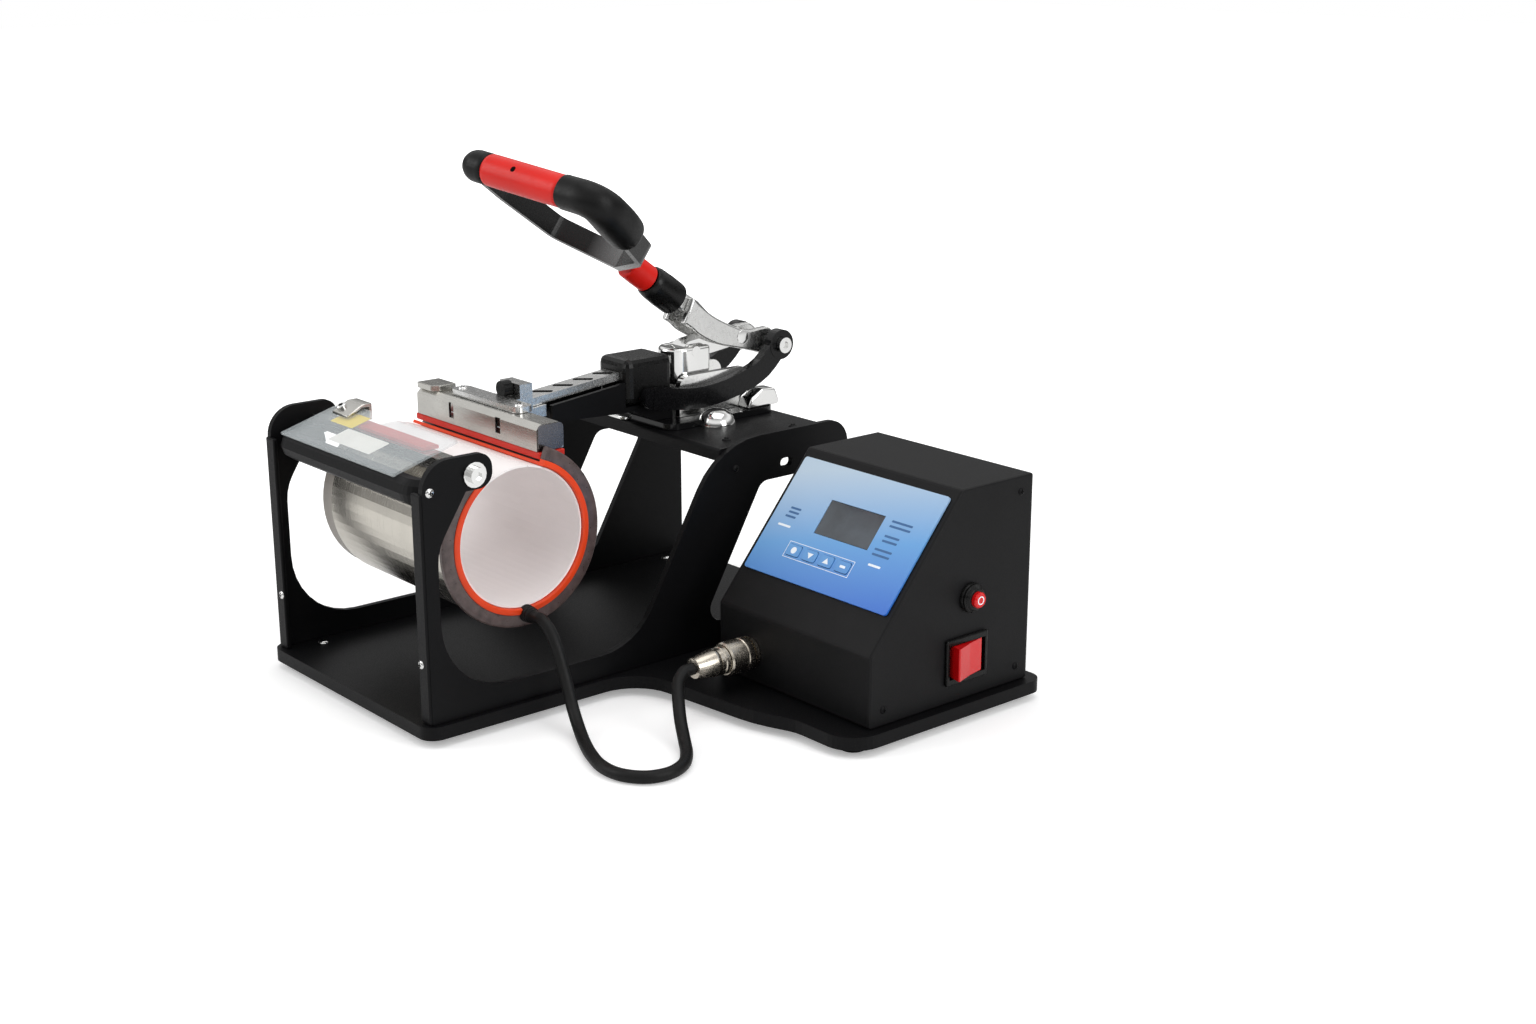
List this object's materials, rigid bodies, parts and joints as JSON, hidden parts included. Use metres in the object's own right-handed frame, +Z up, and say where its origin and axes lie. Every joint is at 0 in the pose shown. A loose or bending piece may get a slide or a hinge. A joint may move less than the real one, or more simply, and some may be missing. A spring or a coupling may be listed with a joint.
{
  "type": "mug heat press",
  "caption": "Desktop mug heat press: sheet-steel stand, round silicone heater band closed by a toggle lever, and a control box joined by a heater cable",
  "frame": {"origin": "middle of the overall footprint, on the surface that the rubber feet stand on", "axes": "+X along the mug's axis towards the control box, the operator's right; +Y away from the operator; +Z up"},
  "size_m": [0.3608, 0.336, 0.3205],
  "materials": {
    "black_powdercoat": "satin black powder coat",
    "box_black": "satin black powder coat on folded sheet steel",
    "stainless": "brushed stainless steel",
    "chrome": "bright plated steel",
    "cast_alloy": "forged and tumbled light alloy",
    "red_silicone": "smooth red silicone",
    "orange_silicone": "orange-red silicone heater mat",
    "sponge": "open silicone sponge",
    "white_liner": "pale coated liner",
    "clear_cover": "clear plate",
    "black_rubber": "matt black rubber",
    "black_plastic": "satin black plastic",
    "red_plastic": "glossy red plastic",
    "red_grip": "satin red grip",
    "panel_blue": "printed film, shaded from pale to strong blue",
    "lcd_grey": "smoked display window",
    "key_blue": "satin film key",
    "nickel": "satin nickel plate",
    "circuit_green": "green laminate",
    "transformer_iron": "varnished iron and wound coil"
  },
  "bodies": {
    "frame": {"base_plate": "black_powdercoat", "foot_1": "black_rubber", "foot_2": "black_rubber", "foot_3": "black_rubber", "foot_4": "black_rubber", "foot_5": "black_rubber", "side_plate_near": "black_powdercoat", "side_plate_far": "black_powdercoat", "cross_plate": "black_powdercoat", "front_tube": "black_powdercoat", "front_clamp_bar": "stainless", "ear_bolt_near": "chrome", "ear_bolt_far": "chrome", "front_cover": "clear_cover", "band_liner": "white_liner", "heater_mat": "orange_silicone", "band_sponge": "sponge", "band_jacket": "red_silicone", "band_shell": "stainless", "front_pad": "red_silicone", "cable_gland": "black_rubber", "guide_arm": "black_powdercoat", "guide_sleeve": "black_plastic", "toggle_bracket": "chrome", "link_arm_near": "black_powdercoat", "link_arm_far": "black_powdercoat", "pivot_bolt": "chrome", "box_shell": "box_black", "display_panel": "panel_blue", "lcd_window": "lcd_grey", "circuit_board": "circuit_green", "transformer": "transformer_iron", "mains_inlet": "black_plastic", "rocker_housing": "black_plastic", "breaker_body": "black_plastic", "socket": "nickel", "plug_body": "nickel", "heater_cable": "black_rubber"},
    "plunger": {"pressed_pad": "red_silicone", "pusher_channel": "stainless", "yoke": "cast_alloy", "slide_bar": "chrome", "plunger_block": "chrome", "link_pin": "chrome"},
    "pressure_knob": {"pressure_knob": "black_powdercoat"},
    "toggle_link": {"toggle_link": "chrome"},
    "lever": {"lever_arm": "cast_alloy", "handle_loop": "black_powdercoat", "lever_ferrule": "black_plastic", "lever_collar": "red_grip", "grip_sleeve": "red_grip", "side_sleeve": "black_rubber", "grip_end_cap": "black_rubber"},
    "rocker": {"rocker_cap": "red_plastic"},
    "breaker_button": {"breaker_button": "red_plastic"},
    "key_1": {"key_1": "key_blue"},
    "key_2": {"key_2": "key_blue"},
    "key_3": {"key_3": "key_blue"},
    "key_4": {"key_4": "key_blue"},
    "plug_ring": {"plug_ring": "nickel"}
  },
  "joints": [
    {"name": "lever_hinge", "type": "hinge", "parent": "frame", "child": "lever", "pos_m": [-0.08535, 0.158, 0.182], "axis": [-1, 0, 0], "range_deg": [0, 70]},
    {"name": "plunger_slide", "type": "slide", "parent": "frame", "child": "plunger", "axis": [0, 0.9945, 0.1044], "range_m": [0, 0.0272]},
    {"name": "toggle_link_hinge", "type": "hinge", "parent": "plunger", "child": "toggle_link", "pos_m": [-0.08535, 0.0942, 0.1839], "axis": [1, 0, 0], "range_deg": [0, 23.71]},
    {"name": "pressure_knob_turn", "type": "hinge", "parent": "plunger", "child": "pressure_knob", "pos_m": [-0.08535, -0.047, 0.178], "axis": [0, 1, 0], "range_deg": [-180, 180]},
    {"name": "rocker_hinge", "type": "hinge", "parent": "frame", "child": "rocker", "pos_m": [0.1716, 0.098, 0.039], "axis": [0, 0, -1], "range_deg": [0, 20]},
    {"name": "breaker_slide", "type": "slide", "parent": "frame", "child": "breaker_button", "axis": [-1, 0, 0], "range_m": [0, 0.002], "stiffness_N_per_m": 400},
    {"name": "plug_ring_turn", "type": "hinge", "parent": "frame", "child": "plug_ring", "pos_m": [0.0674, 0.0211, 0.032], "axis": [0, 1, 0], "range_deg": [-180, 180]},
    {"name": "key_1_slide", "type": "slide", "parent": "frame", "child": "key_1", "axis": [0, 0.7655, -0.6434], "range_m": [0, 0.0004], "stiffness_N_per_m": 400},
    {"name": "key_2_slide", "type": "slide", "parent": "frame", "child": "key_2", "axis": [0, 0.7655, -0.6434], "range_m": [0, 0.0004], "stiffness_N_per_m": 400},
    {"name": "key_3_slide", "type": "slide", "parent": "frame", "child": "key_3", "axis": [0, 0.7655, -0.6434], "range_m": [0, 0.0004], "stiffness_N_per_m": 400},
    {"name": "key_4_slide", "type": "slide", "parent": "frame", "child": "key_4", "axis": [0, 0.7655, -0.6434], "range_m": [0, 0.0004], "stiffness_N_per_m": 400}
  ],
  "couplings": [
    {"joint": "plunger_slide", "follows": "lever_hinge", "m_per_rad": 0.02226},
    {"joint": "toggle_link_hinge", "follows": "lever_hinge", "ratio": 0.3386}
  ]
}
